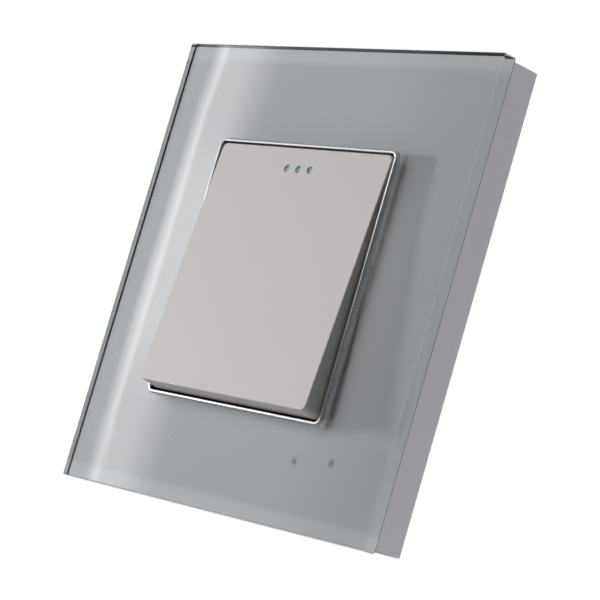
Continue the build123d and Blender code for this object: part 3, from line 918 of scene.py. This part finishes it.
@dataclass
class Insert:
    """Bright square bezel with the flange that it is screwed on by."""

    finishes: Finishes
    opening: float = 50.2 * MM
    opening_corner: float = 1.0 * MM
    collar: float = 51.2 * MM
    collar_corner: float = 1.5 * MM
    collar_steps: int = 12
    collar_front: float = 10.0 * MM
    rim_radius: float = 0.15 * MM
    rim_steps: int = 8
    shoulder: float = 53.2 * MM
    shoulder_corner: float = 2.5 * MM
    shoulder_front: float = 6.3 * MM
    flange: float = 60.4 * MM
    flange_back: float = 3.75 * MM
    flange_front: float = 4.95 * MM
    overlap: float = 0.5 * MM
    frame_screw_offset: float = 28.2 * MM
    frame_screw_hole: float = 0.8 * MM
    tray_screw_x: float = 27.9 * MM
    tray_screw_z: float = 12.0 * MM
    tray_screw_hole: float = 0.75 * MM
    hole_sides: int = 32
    smooth: float = 25.0

    def build(self) -> None:
        """Build and dress the bezel."""
        piece = slab("bright_bezel", self.flange, self.flange, self.flange_back, self.flange_front,
                     self.shoulder_corner)
        middle = (self.flange_back + self.flange_front) / 2
        fuse(piece, slab("shoulder", self.shoulder, self.shoulder, middle, self.shoulder_front,
                         self.shoulder_corner))
        fuse(piece, slab("collar", self.collar, self.collar, self.flange_front + self.overlap,
                         self.collar_front, self.collar_corner, self.collar_steps))
        pierce(piece, self.opening, self.flange_back, self.collar_front, self.opening_corner,
               self.collar_steps)
        holes = ((self.frame_screw_offset, self.frame_screw_offset, self.frame_screw_hole),
                 (self.tray_screw_x, self.tray_screw_z, self.tray_screw_hole))
        for side_x, side_z in QUADRANTS:
            for x, z, radius in holes:
                carve(piece, pin(side_x * x, side_z * z, self.flange_back - OVERRUN,
                                 self.flange_front + self.overlap, radius, self.hole_sides))
        round_edges(piece, lies_at(self.collar_front), self.rim_radius, self.rim_steps)
        complete(piece, "insert_bezel", "bright_bezel", self.finishes.bezel, angle=self.smooth)


@dataclass
class Rocker:
    """Rocker cap and its three lenses, drawn square on and tilted on to the pivot."""

    finishes: Finishes
    pivot: float = 5.316 * MM
    turn: float = radians(-4.11)
    face_arm: float = 6.25 * MM
    skirt_arm: float = 2.0 * MM
    skirt: float = 49.7 * MM
    face_width: float = 49.0 * MM
    face_length: float = 48.8 * MM
    corner: float = 1.2 * MM
    corner_steps: int = 10
    edge: float = 0.2 * MM
    edge_steps: int = 6
    softening: float = 0.06 * MM
    wall: float = 1.4 * MM
    lens_pitch: float = 3.3 * MM
    lens_height: float = 20.2 * MM
    lens_radius: float = 0.7 * MM
    lens_sides: int = 40
    lens_smooth: float = 40.0
    hole_radius: float = 0.75 * MM
    lens_recess: float = 0.03 * MM
    lens_curve: float = 2.3 * MM
    curve_steps: int = 96
    bar_width: float = 10.8 * MM
    bar_height: float = 3.2 * MM
    bar_thickness: float = 1.2 * MM
    bar_corner: float = 0.3 * MM
    bar_steps: int = 3

    @property
    def cavity_arm(self) -> float:
        """Distance from the pivot to the inside of the face."""
        return self.face_arm - self.wall

    @property
    def hollow(self) -> float:
        """Side of the cavity at the back."""
        return self.skirt - 2 * self.wall

    @property
    def roof(self) -> tuple[float, float]:
        """Width and length of the inside of the face, a wall in from the drafted sides."""
        share = (self.cavity_arm - self.skirt_arm) / (self.face_arm - self.skirt_arm)
        width = self.hollow + share * (self.face_width - self.skirt)
        length = self.hollow + share * (self.face_length - self.skirt)
        return width, length

    @property
    def lens_places(self) -> list[float]:
        """X of each lens."""
        return [-self.lens_pitch, 0.0, self.lens_pitch]

    def taper(self, piece: Shape, arm: float, width_ratio: float, length_ratio: float) -> None:
        """Draw in the front of a block.

        Args:
            piece: The block.
            arm: The depth of its front.
            width_ratio: The front's width over the back's.
            length_ratio: The front's length over the back's.
        """
        mark(piece, Part.FACES, lambda face: face.normal.y < -ALONG)
        bpy.ops.transform.resize(value=(width_ratio, 1, length_ratio), center_override=(0, -arm, 0))
        release()

    def tilt(self, piece: Shape) -> None:
        """Turn a piece, drawn square on with the pivot in the wall's plane, to its place on the pivot."""
        piece.rotation_euler = (self.turn, 0, 0)
        piece.location = (0, -self.pivot, 0)
        place(piece)

    def build(self) -> None:
        """Build and dress the cap and the lenses."""
        self.build_cap()
        self.build_lenses()

    def build_cap(self) -> None:
        """Hollow cap with drafted sides, a soft front edge and three holes."""
        piece = slab("rocker_face", self.skirt, self.skirt, self.skirt_arm, self.face_arm)
        self.taper(piece, self.face_arm, self.face_width / self.skirt, self.face_length / self.skirt)
        round_edges(piece, runs_out, self.corner, self.corner_steps)
        round_edges(piece, lies_at(self.face_arm), self.edge, self.edge_steps)
        hollow = slab("cutter", self.hollow, self.hollow, self.skirt_arm, self.cavity_arm)
        roof_width, roof_length = self.roof
        self.taper(hollow, self.cavity_arm, roof_width / self.hollow, roof_length / self.hollow)
        mark(hollow, Part.FACES, lambda face: face.normal.y > ALONG)
        bpy.ops.mesh.extrude_region_move(TRANSFORM_OT_translate={"value": (0, OVERRUN, 0)})
        release()
        carve(piece, hollow)
        for x in self.lens_places:
            carve(piece, pin(x, self.lens_height, self.skirt_arm, self.face_arm + OVERRUN, self.hole_radius,
                             self.lens_sides))
        ease(piece, self.softening)
        self.tilt(piece)
        complete(piece, "rocker_cap", "rocker_grey", self.finishes.rocker, body=Body.ROCKER)

    def build_lenses(self) -> None:
        """Light guide: a bar behind the face with three domed lenses."""
        piece = slab("lens_bar", self.bar_width, self.bar_height, self.cavity_arm - self.bar_thickness,
                     self.cavity_arm, self.bar_corner, self.bar_steps, (0.0, self.lens_height))
        tip = self.face_arm - self.lens_recess
        for x in self.lens_places:
            lens = pin(x, self.lens_height, self.cavity_arm - self.bar_thickness / 2, tip, self.lens_radius,
                       self.lens_sides)
            release()
            bpy.ops.mesh.primitive_uv_sphere_add(
                segments=self.curve_steps, ring_count=self.curve_steps, radius=self.lens_curve,
                location=(x, self.lens_curve - tip, self.lens_height))
            combine(lens, [named("ball")], "INTERSECT")
            fuse(piece, lens)
        self.tilt(piece)
        complete(piece, "light_guide", "jade_lens", self.finishes.lens, body=Body.ROCKER,
                 angle=self.lens_smooth)


@dataclass
class Housing:
    """Carrier frame, wall plate and adhesive pads."""

    finishes: Finishes
    side: float = 88.8 * MM
    corner: float = 0.3 * MM
    depth: float = 6.15 * MM
    inner: float = 85.6 * MM
    web_back: float = 4.95 * MM
    window: float = 53.6 * MM
    window_corner: float = 2.5 * MM
    screw_offset: float = 28.2 * MM
    screw_hole: float = 0.75 * MM
    screw_depth: float = 0.9 * MM
    screw_sides: int = 24
    plate: float = 85.2 * MM
    plate_corner: float = 1.0 * MM
    plate_depth: float = 1.4 * MM
    slot_x: float = 30.15 * MM
    slot_length: float = 8.0 * MM
    slot_width: float = 4.2 * MM
    slot_steps: int = 12
    pad_length: float = 60.0 * MM
    pad_width: float = 16.0 * MM
    pad_depth: float = 0.8 * MM
    pad_height: float = 24.0 * MM
    pad_corner: float = 0.6 * MM
    pad_steps: int = 4
    gap: float = 0.2 * MM
    tab_width: float = 10.0 * MM
    tab_reach: float = 0.5 * MM
    tab_back: float = 0.5 * MM
    tab_depth: float = 0.8 * MM
    softening: float = 0.1 * MM

    def build(self) -> None:
        """Build and dress the frame, the wall plate and the pads."""
        self.build_frame()
        self.build_plate()
        self.build_pads()

    def tabs(self, half: float, margin: float) -> list[Shape]:
        """Four blocks across the middles of a square's sides.

        Args:
            half: Half the square's side.
            margin: How much larger than a tab each block is all round.

        Returns:
            The blocks.
        """
        reach = 2 * self.tab_reach
        width = self.tab_width + 2 * margin
        near = self.tab_back - margin
        far = self.tab_back + self.tab_depth + margin
        blocks = []
        for side in (-1, 1):
            blocks.append(slab("tab", reach, width, near, far, centre=(side * half, 0.0)))
            blocks.append(slab("tab", width, reach, near, far, centre=(0.0, side * half)))
        return blocks

    def build_frame(self) -> None:
        """Wall all round and a web that the glass is stuck to."""
        piece = slab("grey_frame", self.side, self.side, 0.0, self.depth, self.corner)
        carve(piece, slab("cutter", self.inner, self.inner, -OVERRUN, self.web_back))
        pierce(piece, self.window, self.web_back, self.depth, self.window_corner)
        carve(piece, *self.tabs(self.inner / 2, self.gap))
        for side_x, side_z in QUADRANTS:
            carve(piece, pin(side_x * self.screw_offset, side_z * self.screw_offset,
                             self.web_back - OVERRUN, self.web_back + self.screw_depth, self.screw_hole,
                             self.screw_sides))
        ease(piece, self.softening)
        complete(piece, "carrier_frame", "frame_grey", self.finishes.frame)

    def build_plate(self) -> None:
        """Wall plate with screw slots, pad recesses and snap tabs."""
        piece = slab("wall_plate", self.plate, self.plate, 0.0, self.plate_depth, self.plate_corner)
        fuse(piece, *self.tabs(self.plate / 2, 0.0))
        for side in (-1, 1):
            carve(piece, slab("cutter", self.slot_length, self.slot_width, -OVERRUN,
                              self.plate_depth + OVERRUN, self.slot_width / 2 - WELD, self.slot_steps,
                              (side * self.slot_x, 0.0)))
            carve(piece, slab("cutter", self.pad_length + 2 * self.gap, self.pad_width + 2 * self.gap,
                              -OVERRUN, self.pad_depth, centre=(0.0, side * self.pad_height)))
        ease(piece, self.softening)
        complete(piece, "base_plate", "white_moulding", self.finishes.white)

    def build_pads(self) -> None:
        """Two adhesive pads, one made and copied."""
        piece = slab("stick_on_pads", self.pad_length, self.pad_width, 0.0, self.pad_depth, self.pad_corner,
                     self.pad_steps, (0.0, self.pad_height))
        ease(piece, self.softening)
        pick(piece)
        bpy.ops.object.duplicate()
        second = bpy.context.active_object
        second.location.z = -2 * self.pad_height
        place(second)
        pick(piece)
        second.select_set(True)
        bpy.ops.object.join()
        complete(piece, "wall_tape_pads", "pale_adhesive", self.finishes.liner)


@dataclass
class Springs:
    """Coil springs round the two plungers' stems; the real ones change length as the plungers move, these
    keep their CAD shapes.
    """

    finishes: Finishes
    travel: float = 1.6 * MM

    def coil(self, name: str, node: str, body: Body | None) -> Shape:
        """Make a new piece from a CAD spring.

        Args:
            name: The name of the new piece.
            node: The CAD spring.
            body: The body that it rides on, none for a piece that rides on no body.

        Returns:
            The new piece.
        """
        release()
        piece = stand(name, frame["nodes"][node].data.copy())
        complete(piece, node, "zinc_steel", self.finishes.zinc, body=body)
        return piece

    def build(self) -> None:
        """Copy the spring that is long at rest on to the housing with a mesh of its own, and put the short
        one's place into its mesh, on no body.
        """
        piece = self.coil("long_coil", "lower_spring", Body.HOUSING)
        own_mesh(piece)
        piece = self.coil("short_coil", "upper_spring", None)
        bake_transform(piece)


@dataclass
class Works:
    """Generator, contacts and electronics inside, which keep their CAD shapes."""

    finishes: Finishes

    def build(self) -> None:
        """Dress every CAD node that is carried over."""
        finishes = self.finishes
        coats = {
            finishes.zinc: ("insert_screws", "module_screws", "pivot_pins", "lever_pins", "contact_domes",
                            "core_screws"),
            finishes.dark: ("module_case", "guide_bridge", "coil_bobbin"),
            finishes.white: ("pair_button", "upper_plunger", "lower_plunger", "magnet_lever",
                             "rocker_yoke"),
            finishes.chip: ("rectifier_chip", "tact_switch_body"),
            finishes.iron: ("iron_core", "pole_plates"),
            finishes.rubber: ("stop_bumpers",),
            finishes.board: ("main_pcb",),
            finishes.tin: ("radio_module",),
            finishes.sleeve: ("storage_capacitor",),
            finishes.led: ("status_leds",),
            finishes.copper: ("antenna_strip",),
            finishes.winding: ("coil_winding",),
            finishes.nickel: ("magnet",),
        }
        for paint, names in coats.items():
            for name in names:
                for slot in frame["nodes"][name].material_slots:
                    slot.material = paint
                log.info("%s keeps its CAD shape, in %s", name, paint.name)


# Studio


@dataclass(frozen=True)
class Glow:
    """One soft patch of light in the surroundings."""

    towards: Point
    start: float
    end: float
    gain: float


@dataclass(frozen=True)
class Panel:
    """Upright lit panel to the left that the glass mirrors, brightest along its far edge."""

    inner: float = radians(46.8)
    level: float = radians(50.5)
    climb: tuple[float, float] = (radians(52.0), radians(53.05))
    peak: tuple[float, float] = (radians(53.32), radians(53.45))
    edge: tuple[float, float] = (radians(53.43), radians(53.72))
    side: tuple[float, float] = (radians(53.62), radians(53.74))
    outer: tuple[float, float] = (radians(54.0), radians(54.12))
    lean: float = 0.0045
    foot: float = 0.035
    rise: tuple[float, float] = (0.055, 0.095)
    fall: tuple[float, float] = (0.14, 0.18)
    plain: float = 1.1
    side_gain: float = 0.5
    swell: float = 0.9
    gain: float = 2.6
    peak_gain: float = 2.6
    window: tuple[float, float] = (0.35, 0.6)

    def radiance(self, sheet: Sheet, way: Socket) -> Socket:
        """Radiance of the panel in a direction.

        Args:
            sheet: The world's sheet.
            way: The direction.

        Returns:
            The radiance.
        """
        axes = sheet.axes(way)
        leftwards = sheet.math("MULTIPLY", axes["X"], -1.0)
        forwards = sheet.math("MULTIPLY", axes["Y"], -1.0)
        tilt_by = sheet.math("MULTIPLY", sheet.math("SUBTRACT", axes["Z"], self.foot), self.lean)
        turn = sheet.math("SUBTRACT", sheet.math("ARCTAN2", leftwards, forwards), tilt_by)
        middle = sheet.math("MULTIPLY", sheet.ramp(axes["Z"], *self.rise, 0.0, self.swell),
                            sheet.ramp(axes["Z"], *self.fall, 1.0, 0.0))
        swollen = sheet.math("MULTIPLY", middle, sheet.ramp(turn, *self.side, 1.0, 0.0))
        plain = sheet.math("MULTIPLY", sheet.ramp(turn, self.inner, self.level, 0.0, self.plain),
                           sheet.math("ADD", swollen, 1.0))
        plain = sheet.math("ADD", plain, sheet.ramp(turn, *self.side, 0.0, self.side_gain))
        plain = sheet.math("MULTIPLY", plain, sheet.ramp(turn, *self.outer, 1.0, 0.0))
        climb = sheet.math("ADD", sheet.ramp(turn, *self.climb, 0.0, self.gain),
                           sheet.ramp(turn, *self.peak, 0.0, self.peak_gain))
        bright = sheet.math("MULTIPLY", climb, sheet.ramp(turn, *self.edge, 1.0, 0.0, smooth=False))
        window = sheet.ramp(sheet.math("ABSOLUTE", axes["Z"]), *self.window, 1.0, 0.0)
        return sheet.math("MULTIPLY", sheet.math("ADD", plain, bright), window)


@dataclass
class Studio:
    """Camera, key light, surroundings and floor."""

    camera_place: Point = (0.3641, -0.3045, -0.0577)
    camera_forward: Point = (-0.7627, 0.6362, 0.1164)
    camera_up: Point = (-0.0942, -0.2873, 0.9532)
    lens: float = 152.74
    sensor: float = 36.0
    clip: float = 10.0 * MM
    key_place: Point = (-1.12, -0.46, 0.0)
    key_target: Point = (0.02, -0.008, 0.0)
    key_size: float = 0.1
    key_power: float = 8.2
    floor_height: float = -0.5
    floor_half: float = 1.0
    floor_tones: tuple[Colour, Colour] = ((0.8, 0.8, 0.8), (0.84, 0.84, 0.83))
    ambient: float = 0.03
    panel: Panel = Panel()
    glows: tuple[Glow, ...] = (
        Glow((-0.38, -0.88, 0.28), 0.905, 0.985, 3.9),
        Glow((-0.3, -0.5, -0.8), 0.5, 0.95, 0.8),
        Glow((0.55, 0.6, -0.58), 0.75, 0.95, 11.0),
        Glow((-0.74, 0.62, -0.26), 0.95, 0.985, 0.9),
        Glow((0.2, 0.5, 0.84), 0.7, 0.95, 0.8),
    )

    def build(self) -> None:
        """Set up the view, the lights and the floor."""
        self.build_camera()
        self.build_key()
        self.build_world()
        self.build_floor()
        bpy.context.scene.view_settings.view_transform = "Standard"
        log.info("studio ready")

    def build_camera(self) -> None:
        """Camera at the photographed angle."""
        data = bpy.data.cameras.new("camera")
        data.lens = self.lens
        data.sensor_width = self.sensor
        data.clip_start = self.clip
        camera = stand("camera", data)
        forward = Vector(self.camera_forward).normalized()
        right = forward.cross(Vector(self.camera_up)).normalized()
        up = right.cross(forward)
        turn = Matrix((right, up, -forward)).transposed().to_4x4()
        camera.matrix_world = Matrix.Translation(self.camera_place) @ turn
        bpy.context.scene.camera = camera

    def build_key(self) -> None:
        """Small light that grazes the glass from the left."""
        data = bpy.data.lights.new("key", "AREA")
        data.shape = "RECTANGLE"
        data.size = self.key_size
        data.size_y = self.key_size
        data.energy = self.key_power
        light = stand("key", data)
        aim = Vector(self.key_target) - Vector(self.key_place)
        light.location = self.key_place
        light.rotation_euler = aim.to_track_quat("-Z", "Y").to_euler()

    def build_world(self) -> None:
        """Soft surroundings, white behind the switch."""
        world = bpy.data.worlds.new("surroundings")
        world.use_nodes = True
        bpy.context.scene.world = world
        world.node_tree.nodes.clear()
        sheet = Sheet(world.node_tree)
        way = sheet.add("TexCoord").outputs["Generated"]
        total = sheet.math("ADD", self.panel.radiance(sheet, way), self.ambient)
        for glow in self.glows:
            dot = sheet.add("VectorMath", operation="DOT_PRODUCT")
            sheet.feed(dot.inputs[0], way)
            sheet.feed(dot.inputs[1], Vector(glow.towards).normalized())
            patch = sheet.ramp(dot.outputs["Value"], glow.start, glow.end, 0.0, glow.gain)
            total = sheet.math("ADD", total, patch)
        soft = sheet.fill(sheet.add("Background"), Color=WHITE, Strength=total)[0]
        white = sheet.fill(sheet.add("Background"), Color=WHITE)[0]
        straight = sheet.add("LightPath").outputs["Is Camera Ray"]
        sheet.fill(sheet.add("OutputWorld"), Surface=sheet.mix_shaders(straight, soft, white))

    def build_floor(self) -> None:
        """Plain pale floor below the switch."""
        release()
        bpy.ops.mesh.primitive_plane_add(size=2 * self.floor_half, location=(0, 0, self.floor_height))
        floor = named("floor")
        coat = Coat("pale_floor")
        grain = coat.use(effects.grain, Scale=300.0, Mottle_Scale=6.0)
        tone = coat.blend(grain["Mottle"], *map(with_alpha, self.floor_tones))
        coat.fill(coat.shader, Base_Color=tone, Roughness=0.8)
        floor.data.materials.append(coat.paint)


def main() -> None:
    """Build the switch and its studio."""
    logging.basicConfig(level=logging.INFO, format="%(message)s")
    finishes = Finishes()
    for assembly in (GlassFront(finishes), Insert(finishes), Rocker(finishes), Housing(finishes),
                     Springs(finishes), Works(finishes), Studio()):
        assembly.build()
    release()


if __name__ == "__main__":
    main()
